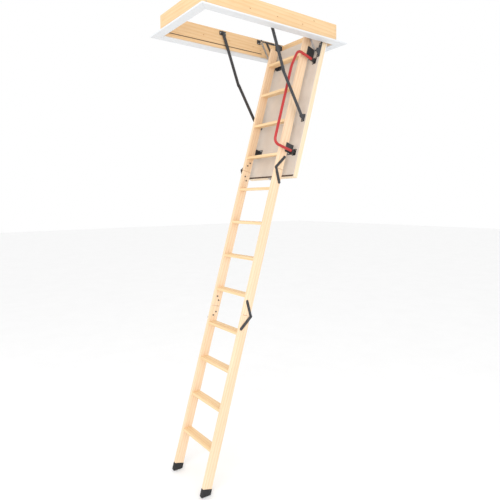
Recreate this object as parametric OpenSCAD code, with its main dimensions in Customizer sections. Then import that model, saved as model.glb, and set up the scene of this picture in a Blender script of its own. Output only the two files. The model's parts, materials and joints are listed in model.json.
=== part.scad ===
// Folding loft ladder: three wooden sections hung on an insulated hatch in a pine casing.
// Millimetres, +Z up.  The origin is the centre of the opening at the ceiling's finished face.
// +X points to the hinged end of the hatch, +Y to the climber's left.

/* [Casing] */
// Clear length of the opening inside the casing
opening_length = 1150; // [1000:10:1400]
// Clear width of the opening inside the casing
opening_width = 540; // [500:10:700]
// Height of the casing boards
casing_height = 140; // [120:5:300]
// Thickness of the casing boards
casing_board = 20; // [16:1:30]
// Width of the trim strips under the casing
trim_width = 72; // [50:1:100]
// Thickness of the trim strips
trim_thick = 10; // [6:1:20]
// How far the trim stands back from the casing's inner face
trim_reveal = 5; // [2:1:12]

/* [Hatch] */
// Thickness of the insulated hatch panel
hatch_thick = 50; // [36:1:60]
// Distance from the hinge axis to the casing's end board
hinge_inset = 60; // [56:1:90]
// Height of the hinge axis above the ceiling face
hinge_height = 15; // [12:1:24]
// Slope of the opened ladder above the floor
slope = 73.2; // [68:0.1:76]

/* [Ladder] */
// Gap between the stringers' outer faces and the casing
side_gap = 73; // [70:1:110]
// Thickness of a stringer
stringer_thick = 22; // [18:1:28]
// Depth of a stringer from front to back
stringer_depth = 72; // [60:1:90]
// Gap between the hatch and the back of the stringers
standoff_gap = 48; // [30:1:70]
// Thickness of a tread
tread_thick = 20; // [16:1:26]
// Distance between treads along the slope
tread_pitch = 262; // [240:1:266]
// Distance from the hinge axis to the top tread along the slope
first_tread = 150; // [120:1:170]
// Distance from the hinge axis to the upper folding joint
fold_one = 1050; // [1020:1:1060]
// Distance between the two folding joints
middle_length = 1070; // [1050:1:1090]
// Length of the lowest section with its feet
lower_length = 1219; // [1120:1:1240]

/* [Handrail] */
// Diameter of the handrail tube
rail_diameter = 20; // [16:1:24]
// How far the handrail stands in front of the stringers
rail_reach = 86; // [60:1:110]

/* [Arms] */
// Distance of the upper arm pivot from the middle of the opening
arm_pivot_x = 65; // [40:1:120]
// Height of the upper arm pivot
arm_pivot_z = 115; // [90:1:120]
// Distance of the lower arm pivot along the hatch
arm_lug_s = 632; // [560:1:680]
// Slack of the two arms over the straight line when opened
arm_slack = 3; // [2:0.5:10]
// Width of an arm
arm_width = 26; // [20:1:34]

/* [Hidden] */
$fn = 48;

half_l = opening_length / 2;
half_w = opening_width / 2;
out_l = half_l + casing_board;
out_w = half_w + casing_board;
hinge_x = half_l - hinge_inset;
lean = 90 - slope;

// Hatch levels, measured square to the panel from the hinge axis
hatch_half = half_w - 8;
hatch_top = -38;
hatch_end = hinge_x + half_l - 8;
n_out = hinge_height;
n_in = n_out - hatch_thick;
skin_out = 6;
skin_in = 4;
lip = 45;

// Ladder levels and widths
n_back = n_in - standoff_gap;
n_front = n_back - stringer_depth;
st_out = half_w - side_gap;
st_in = st_out - stringer_thick;
fold_gap = 1.5;
axis_front = n_front - fold_gap;
axis_back = n_back + fold_gap;
fold_two = fold_one + middle_length;
foot_s = fold_two + lower_length;
stringer_top = 10;
tread_deep = 0.917 * stringer_depth;
housing = 6;

// Fasteners
screw_d = 4;
bolt_d = 6;
bolt_hole = 6.4;

// Straps of the folding joints
strap_t = 3;
strap_w = 20;
strap_s = 96;
strap_n = 61;

// Side arms: layers counted outwards from the middle of the ladder
arm_up_in = half_w - 12;
arm_up_out = half_w - 8;
arm_low_in = half_w - 16.3;
arm_low_out = half_w - 12.3;
lug_n = n_in - 40;
ax = -arm_pivot_x;
az = arm_pivot_z;
bx = hinge_x - arm_lug_s * cos(slope) + lug_n * sin(slope);
bz = hinge_height - arm_lug_s * sin(slope) - lug_n * cos(slope);
arm_span = sqrt((bx - ax) * (bx - ax) + (bz - az) * (bz - az));
arm_sum = arm_span + arm_slack;
arm_long = (arm_sum + arm_span * 0.0779) / 2;
arm_short = arm_sum - arm_long;
arm_foot = (arm_long * arm_long - arm_short * arm_short + arm_span * arm_span) / (2 * arm_span);
arm_rise = sqrt(max(arm_long * arm_long - arm_foot * arm_foot, 0));
arm_line = atan2(bz - az, bx - ax);
knee_x = ax + arm_foot * cos(arm_line) + arm_rise * sin(arm_line);
knee_z = az + arm_foot * sin(arm_line) - arm_rise * cos(arm_line);

// Springs: from a post on the casing to a pin on the hatch lever
spring_y = half_w - 28.5;
post_x = hinge_x - 215;
post_z = casing_height - 22;
pin_s = 110;
pin_n = n_in - 35;
pin_x = hinge_x - pin_s * cos(slope) + pin_n * sin(slope);
pin_z = hinge_height - pin_s * sin(slope) - pin_n * cos(slope);

// Handrail
rail_y = st_out + 25;
rail_n = n_front - rail_reach;
rail_s1 = 173;
rail_s2 = 898;
rail_foot = n_in - 3;

// Latch
latch_n = n_in + 19;

hatch_screw_at = [
  [rail_s1 - 16, -rail_y - 10], [rail_s1 + 16, -rail_y + 10],
  [rail_s2 - 16, -rail_y - 10], [rail_s2 + 16, -rail_y + 10],
  [arm_lug_s - 20, half_w - 36], [arm_lug_s + 20, half_w - 36],
  [arm_lug_s - 20, 36 - half_w], [arm_lug_s + 20, 36 - half_w],
  [48, hatch_half - 14], [138, hatch_half - 14], [48, 14 - hatch_half], [138, 14 - hatch_half],
  [88, st_out - 32], [138, st_out - 32], [88, 32 - st_out], [138, 32 - st_out],
  [853, st_out - 32], [903, st_out - 32], [853, 32 - st_out], [903, 32 - st_out]
];
leg_screw_at = [[92, n_back - 12], [134, n_back - 12], [857, n_back - 12], [899, n_back - 12]];
wall_screw_at = [
  [ax - 21, az], [ax + 21, az],
  [hinge_x - 163, casing_height - 12], [hinge_x - 45, casing_height - 12],
  [hinge_x + 31, casing_height - 12], [hinge_x + 31, 40],
  [post_x - 10, post_z - 13], [post_x + 10, post_z - 13]
];
mount_hole_x = [-480, -240, 0, 240];
fold_bolt_at = [[72, 45.5], [44, 27.8]];

// ---------------------------------------------------------------- helpers

// Frame of the opened hatch: +X square to it, -Z down the slope, origin on the hinge axis
module leaning() {
  translate([hinge_x, 0, hinge_height]) rotate([0, lean, 0]) children();
}

// Draws in the plane of slope distance and depth; thickness runs from y to y - t
module slope_plate(y, t) {
  leaning() translate([0, y, 0]) rotate([90, 90, 0]) linear_extrude(t) children();
}

// Draws in the plane of x and z; thickness runs from y to y - t
module wall_plate(y, t) {
  translate([0, y, 0]) rotate([90, 0, 0]) linear_extrude(t) children();
}

// A round bar across the ladder between two y values, at a slope position
module slope_rod(s, n, d, y1, y2) {
  leaning() translate([n, y2, -s]) rotate([90, 0, 0]) cylinder(h = y2 - y1, d = d);
}

// A round bar across the casing between two y values
module wall_rod(x, z, d, y1, y2) {
  translate([x, y2, z]) rotate([90, 0, 0]) cylinder(h = y2 - y1, d = d);
}

// A round bar square to the hatch between two depths
module depth_rod(s, y, d, n1, n2) {
  leaning() translate([n1, y, -s]) rotate([0, 90, 0]) cylinder(h = n2 - n1, d = d);
}

// A block in the leaning frame
module slope_block(s1, s2, y1, y2, n1, n2) {
  leaning() translate([n1, y1, -s2]) cube([n2 - n1, y2 - y1, s2 - s1]);
}

module capsule(length, width) {
  translate([0, -width / 2]) square([length, width]);
  circle(d = width);
  translate([length, 0]) circle(d = width);
}

// Both sides of the ladder: children are drawn for +Y and mirrored for -Y
module both() {
  children();
  mirror([0, 1, 0]) children();
}

// ---------------------------------------------------------------- casing

module casing_side_left() {
  difference() {
    translate([-out_l, half_w, 0]) cube([2 * out_l, casing_board, casing_height]);
    translate([-half_l, half_w - 1, 23]) cube([half_l + hinge_x - 185, 4, 5]);
    for (x = mount_hole_x) wall_rod(x, 70, 8, half_w - 1, out_w + 1);
    for (p = wall_screw_at) wall_rod(p[0], p[1], screw_d, half_w - 1, half_w + 14);
    for (x = [-1, 1]) {
      for (z = [35, casing_height - 35]) {
        wall_rod(x * (half_l + casing_board / 2), z, screw_d, half_w - 1, out_w + 1);
      }
    }
  }
}

module casing_left() {
  color([0.90, 0.76, 0.55]) casing_side_left();
}

module casing_right() {
  color([0.90, 0.76, 0.55]) mirror([0, 1, 0]) casing_side_left();
}

module end_board() {
  difference() {
    translate([half_l, -half_w, 0]) cube([casing_board, 2 * half_w, casing_height]);
    for (y = [-1, 1]) {
      for (z = [35, casing_height - 35]) {
        translate([half_l + casing_board / 2, y * (half_w - 12.5), z]) rotate([90, 0, 0])
          cylinder(h = 25, d = screw_d, center = true);
      }
    }
  }
}

module casing_hinge_end() {
  color([0.90, 0.76, 0.55]) end_board();
}

module casing_free_end() {
  color([0.90, 0.76, 0.55]) difference() {
    mirror([1, 0, 0]) end_board();
    translate([-half_l - 12, -11, 24]) cube([13, 22, 14]);
    for (y = [-18, 18]) {
      translate([-half_l - 12, y, 31]) rotate([0, 90, 0]) cylinder(h = 13, d = screw_d);
    }
  }
}

module casing_seal() {
  color([0.33, 0.24, 0.17]) both() {
    translate([-half_l, half_w - 1.5, 23]) cube([half_l + hinge_x - 185, 4.5, 5]);
  }
}

module trim_profile(length) {
  rotate([90, 0, 90]) translate([0, 0, -length / 2]) linear_extrude(length) polygon([
    [0, 0], [0, 2.5 - trim_thick], [2.5, -trim_thick],
    [trim_width - 2.5, -trim_thick], [trim_width, 2.5 - trim_thick], [trim_width, 0]
  ]);
}

module trim_strip(inner_half, inner_cross) {
  intersection() {
    translate([0, inner_cross, 0]) trim_profile(2 * (inner_half + trim_width));
    translate([0, 0, -trim_thick - 1]) linear_extrude(trim_thick + 2) polygon([
      [-inner_half, inner_cross], [inner_half, inner_cross],
      [inner_half + trim_width, inner_cross + trim_width],
      [-inner_half - trim_width, inner_cross + trim_width]
    ]);
  }
}

module trim_left() {
  color([0.93, 0.93, 0.92]) trim_strip(half_l + trim_reveal, half_w + trim_reveal);
}

module trim_right() {
  color([0.93, 0.93, 0.92]) rotate([0, 0, 180])
    trim_strip(half_l + trim_reveal, half_w + trim_reveal);
}

module trim_free_end() {
  color([0.93, 0.93, 0.92]) rotate([0, 0, 90])
    trim_strip(half_w + trim_reveal, half_l + trim_reveal);
}

module trim_hinge_end() {
  color([0.93, 0.93, 0.92]) rotate([0, 0, -90])
    trim_strip(half_w + trim_reveal, half_l + trim_reveal);
}

module casing_screws() {
  color([0.72, 0.70, 0.62]) both() {
    for (x = [-1, 1]) {
      for (z = [35, casing_height - 35]) {
        wall_rod(x * (half_l + casing_board / 2), z, screw_d, half_w - 25, out_w + 0.5);
        wall_rod(x * (half_l + casing_board / 2), z, 8, out_w, out_w + 2);
      }
    }
  }
}

module strike_plate() {
  color([0.55, 0.56, 0.58]) {
    difference() {
      translate([-half_l, -26, 17]) cube([2, 52, 28]);
      translate([-half_l - 1, -11, 24]) cube([4, 22, 14]);
      for (y = [-18, 18]) {
        translate([-half_l - 1, y, 31]) rotate([0, 90, 0]) cylinder(h = 4, d = screw_d);
      }
    }
    for (y = [-18, 18]) {
      translate([-half_l - 12, y, 31]) rotate([0, 90, 0]) cylinder(h = 14.5, d = screw_d);
      translate([-half_l + 2, y, 31]) rotate([0, 90, 0]) cylinder(h = 1.6, d = 7);
    }
  }
}

module wall_holes() {
  for (p = wall_screw_at) translate(p) circle(d = screw_d);
}

module arm_brackets() {
  color([0.20, 0.20, 0.22]) both() {
    wall_plate(half_w, 4) difference() {
      translate([ax, az]) {
        square([60, 30], center = true);
        circle(d = 36);
      }
      wall_holes();
    }
    wall_rod(ax, az, 18, arm_up_out + 0.2, half_w - 3.9);
    wall_rod(ax, az, 10, arm_up_in - 0.5, half_w - 3.9);
    wall_rod(ax, az, 16, arm_up_in - 3.5, arm_up_in - 0.2);
  }
}

module hinge_brackets() {
  color([0.24, 0.24, 0.26]) both() {
    wall_plate(half_w, 4) difference() {
      polygon([
        [hinge_x - 175, casing_height - 6], [hinge_x + 43, casing_height - 6],
        [hinge_x + 43, 3], [hinge_x - 25, 3], [hinge_x - 37, 40], [hinge_x - 95, 52],
        [hinge_x - 140, casing_height - 18], [hinge_x - 175, casing_height - 18]
      ]);
      polygon([
        [hinge_x - 119, casing_height - 20], [hinge_x - 84, 68],
        [hinge_x - 32, 58], [hinge_x - 32, casing_height - 20]
      ]);
      translate([hinge_x, hinge_height]) circle(d = 10.4);
      wall_holes();
    }
  }
}

module spring_anchors() {
  color([0.24, 0.24, 0.26]) both() {
    wall_plate(half_w, 4) difference() {
      translate([post_x - 18, post_z - 20]) square([36, 34]);
      wall_holes();
    }
    wall_rod(post_x, post_z, 10, spring_y - 5, half_w - 3.9);
    wall_rod(post_x, post_z, 15, spring_y - 8, spring_y - 5);
  }
}

module bracket_screws() {
  color([0.70, 0.69, 0.64]) both() {
    for (p = wall_screw_at) {
      wall_rod(p[0], p[1], screw_d, half_w - 4.5, half_w + 14);
      wall_rod(p[0], p[1], 8, half_w - 6, half_w - 4);
    }
  }
}

// ---------------------------------------------------------------- springs

module spring_body(length) {
  turns = 24;
  step = (length - 16) / turns;
  rotate_extrude() polygon(concat(
    [[0, 7.6], [2.4, 7.6], [4.5, 9]],
    [for (i = [0 : turns - 1]) each [
      [6.4, 8 + i * step + step * 0.1], [7.6, 8 + i * step + step * 0.5],
      [6.4, 8 + i * step + step * 0.9]
    ]],
    [[4.5, length - 9], [2.4, length - 7.6], [0, length - 7.6]]
  ));
}

module springs() {
  reach = sqrt((pin_x - post_x) * (pin_x - post_x) + (pin_z - post_z) * (pin_z - post_z));
  turn = atan2(pin_x - post_x, pin_z - post_z);
  color([0.42, 0.42, 0.44]) both() {
    translate([post_x, spring_y, post_z]) rotate([0, turn, 0]) {
      spring_body(reach);
      for (z = [0, reach]) {
        translate([0, 0, z]) rotate([90, 0, 0]) rotate_extrude()
          translate([6.4, 0]) circle(r = 1.25);
      }
    }
  }
}

// ---------------------------------------------------------------- hatch

module hatch_screw_holes() {
  for (p = hatch_screw_at) depth_rod(p[0], p[1], screw_d, n_in - 1, n_in + 18);
}

module hatch_outer_skin() {
  color([0.95, 0.95, 0.94]) difference() {
    slope_block(hatch_top, hatch_end, -hatch_half, hatch_half, n_out - skin_out, n_out);
    for (s = [hatch_end - 96, hatch_end - 64]) {
      depth_rod(s, 0, screw_d, n_out - skin_out - 1, n_out + 1);
    }
  }
}

module hatch_frame() {
  color([0.93, 0.85, 0.68]) difference() {
    slope_block(hatch_top, hatch_end, -hatch_half, hatch_half, n_in + skin_in, n_out - skin_out);
    slope_block(hatch_top + lip, hatch_end - lip, lip - hatch_half, hatch_half - lip,
      n_in + skin_in - 1, n_out - skin_out + 1);
    slope_block(hatch_end - 40, hatch_end + 1, -16, 16, latch_n - 10, latch_n + 10);
    hatch_screw_holes();
  }
}

module hatch_core() {
  color([0.86, 0.87, 0.88]) difference() {
    slope_block(hatch_top + lip, hatch_end - lip, lip - hatch_half, hatch_half - lip,
      n_in + skin_in, n_out - skin_out);
    hatch_screw_holes();
    for (s = [hatch_end - 96, hatch_end - 64]) {
      depth_rod(s, 0, screw_d, n_out - skin_out - 12, n_out + 1);
    }
  }
}

module hatch_inner_skin() {
  color([0.84, 0.80, 0.75]) difference() {
    slope_block(hatch_top, hatch_end, -hatch_half, hatch_half, n_in, n_in + skin_in);
    hatch_screw_holes();
  }
}

module hatch_seal() {
  color([0.30, 0.22, 0.16]) slope_block(hatch_end - 11, hatch_end, -hatch_half,
    hatch_half, n_in - 3, n_in);
}

module latch_case() {
  color([0.60, 0.61, 0.63]) difference() {
    union() {
      slope_block(hatch_end - 40, hatch_end, -16, 16, latch_n - 10, latch_n + 10);
      slope_block(hatch_end, hatch_end + 2, -24, 24, latch_n - 12, latch_n + 12);
    }
    slope_block(hatch_end - 38, hatch_end + 3, -8.3, 8.3, latch_n - 5.3, latch_n + 5.3);
  }
}

module latch_bolt() {
  color([0.75, 0.75, 0.76]) slope_plate(8, 16) polygon([
    [hatch_end - 24, latch_n - 5], [hatch_end + 4, latch_n - 5],
    [hatch_end + 12, latch_n + 3], [hatch_end + 12, latch_n + 5], [hatch_end - 24, latch_n + 5]
  ]);
}

module hook_eye() {
  color([0.62, 0.62, 0.64]) {
    difference() {
      slope_block(hatch_end - 106, hatch_end - 54, -12, 12, n_out, n_out + 2);
      for (s = [hatch_end - 96, hatch_end - 64]) {
        depth_rod(s, 0, screw_d, n_out - 1, n_out + 3);
      }
    }
    for (s = [hatch_end - 96, hatch_end - 64]) {
      depth_rod(s, 0, screw_d, n_out - skin_out - 12, n_out + 2.5);
      depth_rod(s, 0, 8, n_out + 2, n_out + 4);
    }
    leaning() translate([n_out + 1.5, 0, 80 - hatch_end]) rotate([0, 90, 0]) rotate([90, 0, 0])
      rotate_extrude(angle = 180) translate([9, 0]) circle(d = 4.5);
  }
}

module hinge_levers() {
  color([0.24, 0.24, 0.26]) both() {
    slope_plate(hatch_half + 3, 3) polygon([
      [-14, -11], [-14, 11], [11, 11], [15, -4], [24, n_in], [146, n_in], [146, n_in - 10],
      [122, n_in - 44], [98, n_in - 44], [84, n_in - 14], [24, n_in - 16], [0, -26]
    ]);
    difference() {
      slope_block(34, 146, hatch_half - 26, hatch_half + 1, n_in - 3, n_in);
      for (p = hatch_screw_at) depth_rod(p[0], p[1], screw_d, n_in - 4, n_in + 1);
    }
    slope_rod(0, 0, 10, hatch_half + 2.5, half_w - 0.5);
    slope_rod(0, 0, 15, hatch_half + 2.9, half_w - 4.3);
    slope_rod(pin_s, pin_n, 10, spring_y - 5, hatch_half + 0.5);
    slope_rod(pin_s, pin_n, 15, spring_y - 8, spring_y - 5);
  }
}

module arm_lugs() {
  color([0.20, 0.20, 0.22]) both() {
    slope_plate(half_w - 18.3, 4) {
      polygon([
        [arm_lug_s - 28, n_in], [arm_lug_s + 28, n_in],
        [arm_lug_s + 12, lug_n - 4], [arm_lug_s - 12, lug_n - 4]
      ]);
      translate([arm_lug_s, lug_n]) circle(r = 13);
    }
    difference() {
      slope_block(arm_lug_s - 28, arm_lug_s + 28, half_w - 48, half_w - 18.3, n_in - 3, n_in);
      for (s = [-20, 20]) depth_rod(arm_lug_s + s, half_w - 36, screw_d, n_in - 4, n_in + 1);
    }
    slope_rod(arm_lug_s, lug_n, 10, half_w - 23, half_w - 12.4);
    slope_rod(arm_lug_s, lug_n, 16, half_w - 25.3, half_w - 22.3);
    slope_rod(arm_lug_s, lug_n, 16, half_w - 18.3, half_w - 16.5);
  }
}

module standoff_pair(s1) {
  difference() {
    union() {
      slope_block(s1, s1 + 70, st_out, st_out + 3, n_back - 24, n_in);
      slope_block(s1, s1 + 70, st_out - 45, st_out + 3, n_in - 3, n_in);
    }
    for (p = leg_screw_at) slope_rod(p[0], p[1], screw_d, st_out - 1, st_out + 4);
    for (p = hatch_screw_at) depth_rod(p[0], p[1], screw_d, n_in - 4, n_in + 1);
  }
}

module standoffs() {
  color([0.24, 0.24, 0.26]) both() {
    standoff_pair(78);
    standoff_pair(843);
    for (p = leg_screw_at) {
      slope_rod(p[0], p[1], screw_d, st_out - 13, st_out + 3.5);
      slope_rod(p[0], p[1], 8, st_out + 3, st_out + 5);
    }
  }
}

module hatch_screws() {
  color([0.70, 0.69, 0.64]) {
    for (p = hatch_screw_at) {
      depth_rod(p[0], p[1], screw_d, n_in - 3.5, n_in + 18);
      depth_rod(p[0], p[1], 8, n_in - 5, n_in - 3);
    }
  }
}

// ---------------------------------------------------------------- treads and stringers

// Level frame at the top front edge of tread number k, counted from the floor
module tread_frame(k) {
  leaning() translate([n_front + 1, 0, -first_tread - (12 - k) * tread_pitch])
    rotate([0, -lean, 0]) children();
}

module tread(k) {
  color([0.93, 0.80, 0.58]) tread_frame(k) rotate([90, 0, 0])
    linear_extrude(2 * (st_in + housing), center = true) polygon([
      [0, -2], [0.6, -0.6], [2, 0],
      [12, 0], [12, -1.2], [14, -1.2], [14, 0],
      [20, 0], [20, -1.2], [22, -1.2], [22, 0],
      [28, 0], [28, -1.2], [30, -1.2], [30, 0],
      [tread_deep - 1.5, 0], [tread_deep, -1.5],
      [tread_deep, 1.5 - tread_thick], [tread_deep - 1.5, -tread_thick],
      [1.5, -tread_thick], [0, 1.5 - tread_thick]
    ]);
}

module housing_cut(k) {
  tread_frame(k) translate([0, st_in - 1, -tread_thick])
    cube([tread_deep, housing + 1, tread_thick]);
}

// One stringer on the +Y side between two slope distances, with its tread housings
module stringer(s1, s2, top) {
  difference() {
    leaning() translate([0, 0, -s2]) linear_extrude(s2 - s1) polygon([
      [n_front, st_in + 2], [n_front + 2, st_in], [n_back - 2, st_in], [n_back, st_in + 2],
      [n_back, st_out - 2], [n_back - 2, st_out], [n_front + 2, st_out], [n_front, st_out - 2]
    ]);
    for (k = [top - 3 : top]) housing_cut(k);
    children();
  }
}

// Bolt positions of one strap: side is -1 above the joint and 1 below, face 1 or -1
module strap_holes(fold, axis, side, face, d) {
  for (p = fold_bolt_at) slope_rod(fold + side * p[0], axis + face * p[1], d, st_in - 5, st_out + 9);
}

module stringer_top() {
  stringer(stringer_top, fold_one - 1, 12) {
    strap_holes(fold_one, axis_front, -1, 1, bolt_hole);
    for (p = leg_screw_at) slope_rod(p[0], p[1], screw_d, st_out - 13, st_out + 1);
  }
}

module stringer_mid() {
  stringer(fold_one + 1, fold_two - 1, 8) {
    strap_holes(fold_one, axis_front, 1, 1, bolt_hole);
    strap_holes(fold_two, axis_back, -1, -1, bolt_hole);
  }
}

module stringer_low() {
  stringer(fold_two + 1, foot_s - 30, 4) {
    strap_holes(fold_two, axis_back, 1, -1, bolt_hole);
  }
}

module stringer_top_left() {
  color([0.95, 0.86, 0.68]) stringer_top();
}

module stringer_top_right() {
  color([0.95, 0.86, 0.68]) mirror([0, 1, 0]) stringer_top();
}

module stringer_mid_left() {
  color([0.95, 0.86, 0.68]) stringer_mid();
}

module stringer_mid_right() {
  color([0.95, 0.86, 0.68]) mirror([0, 1, 0]) stringer_mid();
}

module stringer_low_left() {
  color([0.95, 0.86, 0.68]) stringer_low();
}

module stringer_low_right() {
  color([0.95, 0.86, 0.68]) mirror([0, 1, 0]) stringer_low();
}

// ---------------------------------------------------------------- folding joints

strap_turn = atan2(strap_n, strap_s);
strap_reach = sqrt(strap_s * strap_s + strap_n * strap_n);

module strap_outline(fold, axis, side, face, from) {
  a = atan2(face * strap_n, side * strap_s);
  translate([fold, axis]) rotate(a) translate([from, 0]) capsule(strap_reach - from, strap_w);
}

// Inner strap: lies on the stringer and carries the joint's pin
module strap_with_pin(fold, axis, side, face) {
  difference() {
    slope_plate(st_out + strap_t, strap_t) strap_outline(fold, axis, side, face, 0);
    strap_holes(fold, axis, side, face, bolt_hole);
  }
  slope_rod(fold, axis, 8, st_out + strap_t - 0.5, st_out + 2 * strap_t + 1);
  slope_rod(fold, axis, 13, st_out + 2 * strap_t + 0.4, st_out + 2 * strap_t + 3);
}

// Outer strap: steps out over the inner one and turns on its pin
module strap_with_eye(fold, axis, side, face) {
  difference() {
    union() {
      slope_plate(st_out + strap_t + 0.2, strap_t + 0.2)
        strap_outline(fold, axis, side, face, 32);
      slope_plate(st_out + 2 * strap_t + 0.2, strap_t)
        strap_outline(fold, axis, side, face, 0);
    }
    slope_rod(fold, axis, 8.4, st_out, st_out + 8);
    strap_holes(fold, axis, side, face, bolt_hole);
  }
}

module bolts(fold, axis, side, face, plate) {
  for (p = fold_bolt_at) {
    slope_rod(fold + side * p[0], axis + face * p[1], bolt_d, st_in - 4.5, st_out + plate + 0.5);
    slope_rod(fold + side * p[0], axis + face * p[1], 11, st_out + plate, st_out + plate + 2.4);
    slope_rod(fold + side * p[0], axis + face * p[1], 11, st_in - 4, st_in);
  }
}

module straps_top() {
  color([0.22, 0.23, 0.25]) both() strap_with_pin(fold_one, axis_front, -1, 1);
}

module straps_mid_upper() {
  color([0.22, 0.23, 0.25]) both() strap_with_eye(fold_one, axis_front, 1, 1);
}

module straps_mid_lower() {
  color([0.22, 0.23, 0.25]) both() strap_with_pin(fold_two, axis_back, -1, -1);
}

module straps_low() {
  color([0.22, 0.23, 0.25]) both() strap_with_eye(fold_two, axis_back, 1, -1);
}

module bolts_top() {
  color([0.30, 0.30, 0.32]) both() bolts(fold_one, axis_front, -1, 1, strap_t);
}

module bolts_mid() {
  color([0.30, 0.30, 0.32]) both() {
    bolts(fold_one, axis_front, 1, 1, 2 * strap_t + 0.2);
    bolts(fold_two, axis_back, -1, -1, strap_t);
  }
}

module bolts_low() {
  color([0.30, 0.30, 0.32]) both() bolts(fold_two, axis_back, 1, -1, 2 * strap_t + 0.2);
}

// ---------------------------------------------------------------- feet

module feet() {
  floor_cut = (n_back - n_front + 4) / tan(slope);
  color([0.10, 0.10, 0.11]) both() difference() {
    slope_plate(st_out + 2, stringer_thick + 4) polygon([
      [foot_s - 64, n_front - 2], [foot_s - 14, n_front - 2],
      [foot_s - 13 / tan(slope), n_front + 11],
      [foot_s - floor_cut, n_back + 2], [foot_s - 64, n_back + 2]
    ]);
    leaning() translate([0, 0, 30 - foot_s]) linear_extrude(60) polygon([
      [n_front, st_in + 2], [n_front + 2, st_in], [n_back - 2, st_in], [n_back, st_in + 2],
      [n_back, st_out - 2], [n_back - 2, st_out], [n_front + 2, st_out], [n_front, st_out - 2]
    ]);
  }
}

// ---------------------------------------------------------------- handrail

// Straight tube between two points of the handrail's plane
module rail_run(p, q) {
  l = sqrt((q[0] - p[0]) * (q[0] - p[0]) + (q[1] - p[1]) * (q[1] - p[1]));
  translate([p[0], p[1], 0]) rotate([0, 0, atan2(q[1] - p[1], q[0] - p[0])])
    rotate([0, 90, 0]) cylinder(h = l, d = rail_diameter);
}

// Bend of radius r about a centre, from one angle over a turn
module rail_bend(c, r, a, turn) {
  translate([c[0], c[1], 0]) rotate([0, 0, a]) rotate_extrude(angle = turn)
    translate([r, 0]) circle(d = rail_diameter);
}

module handrail() {
  r = 42;
  big = 260;
  tilt = 12;
  // start of the sloping run, after the first bend
  p1 = [rail_s1, rail_n + 62];
  c1 = [rail_s1 + r, p1[1]];
  p2 = [c1[0] - r * sin(tilt), c1[1] - r * cos(tilt)];
  // the wide bend ends level with the straight run
  drop = p2[1] - rail_n;
  run = (drop - big * (1 - cos(tilt))) / sin(tilt);
  p3 = [p2[0] + run * cos(tilt), p2[1] - run * sin(tilt)];
  c2 = [p3[0] + big * sin(tilt), rail_n + big];
  p4 = [c2[0], rail_n];
  p5 = [rail_s2 - r, rail_n];
  c3 = [rail_s2 - r, rail_n + r];
  p6 = [rail_s2, rail_n + r];
  color([0.78, 0.13, 0.14]) leaning() translate([0, -rail_y, 0]) rotate([90, 90, 0]) {
    rail_run([rail_s1, rail_foot], p1);
    rail_bend(c1, r, 180, 90 - tilt);
    rail_run(p2, p3);
    rail_bend(c2, big, 270 - tilt, tilt);
    rail_run(p4, p5);
    rail_bend(c3, r, 270, 90);
    rail_run(p6, [rail_s2, rail_foot]);
  }
}

module handrail_brackets() {
  color([0.12, 0.12, 0.13]) {
    for (s = [rail_s1, rail_s2]) {
      difference() {
        union() {
          slope_block(s - 24, s + 24, -rail_y - 17, -rail_y + 17, n_in - 3, n_in);
          depth_rod(s, -rail_y, rail_diameter + 6, n_in - 36, n_in - 2);
        }
        depth_rod(s, -rail_y, rail_diameter + 0.2, n_in - 40, n_in - 3);
        for (p = hatch_screw_at) depth_rod(p[0], p[1], 8.2, n_in - 40, n_in - 3);
        for (p = hatch_screw_at) depth_rod(p[0], p[1], screw_d, n_in - 4, n_in + 1);
      }
    }
  }
}

// ---------------------------------------------------------------- side arms

module arm_upper() {
  a = atan2(knee_z - az, knee_x - ax);
  wall_plate(arm_up_out, 4) difference() {
    translate([ax, az]) rotate(a) capsule(arm_long, arm_width);
    translate([ax, az]) circle(d = 10.4);
  }
  wall_rod(knee_x, knee_z, 15, arm_up_out - 0.5, arm_up_out + 3);
}

module arm_lower() {
  a = atan2(knee_z - bz, knee_x - bx);
  wall_plate(arm_low_out, 4) difference() {
    translate([bx, bz]) rotate(a) capsule(arm_short, arm_width);
    translate([bx, bz]) circle(d = 10.4);
  }
  wall_rod(knee_x, knee_z, 15, arm_low_in - 3, arm_low_in + 0.5);
}

module arm_upper_left() {
  color([0.22, 0.22, 0.24]) arm_upper();
}

module arm_upper_right() {
  color([0.22, 0.22, 0.24]) mirror([0, 1, 0]) arm_upper();
}

module arm_lower_left() {
  color([0.22, 0.22, 0.24]) arm_lower();
}

module arm_lower_right() {
  color([0.22, 0.22, 0.24]) mirror([0, 1, 0]) arm_lower();
}

// ---------------------------------------------------------------- nodes

casing_left();
casing_right();
casing_free_end();
casing_hinge_end();
casing_seal();
trim_left();
trim_right();
trim_free_end();
trim_hinge_end();
casing_screws();
strike_plate();
arm_brackets();
hinge_brackets();
spring_anchors();
bracket_screws();
springs();
hatch_outer_skin();
hatch_frame();
hatch_core();
hatch_inner_skin();
hatch_seal();
latch_case();
latch_bolt();
hook_eye();
hinge_levers();
arm_lugs();
standoffs();
hatch_screws();
stringer_top_left();
stringer_top_right();
tread(12);  // tread_12
tread(11);  // tread_11
tread(10);  // tread_10
tread(9);  // tread_09
handrail();
handrail_brackets();
straps_top();
bolts_top();
stringer_mid_left();
stringer_mid_right();
tread(8);  // tread_08
tread(7);  // tread_07
tread(6);  // tread_06
tread(5);  // tread_05
straps_mid_upper();
straps_mid_lower();
bolts_mid();
stringer_low_left();
stringer_low_right();
tread(4);  // tread_04
tread(3);  // tread_03
tread(2);  // tread_02
tread(1);  // tread_01
straps_low();
bolts_low();
feet();
arm_upper_left();
arm_upper_right();
arm_lower_left();
arm_lower_right();
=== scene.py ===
"""Looks for the folding loft ladder: pine sections on an insulated hatch in a pine casing.

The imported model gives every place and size.  Wooden bars, treads, feet, the handrail and the
springs are surfaces worked out on grids; sheet-metal pieces are softened copies of their nodes.
"""

import json
import logging
import math
from dataclasses import dataclass
from enum import Enum

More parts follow.
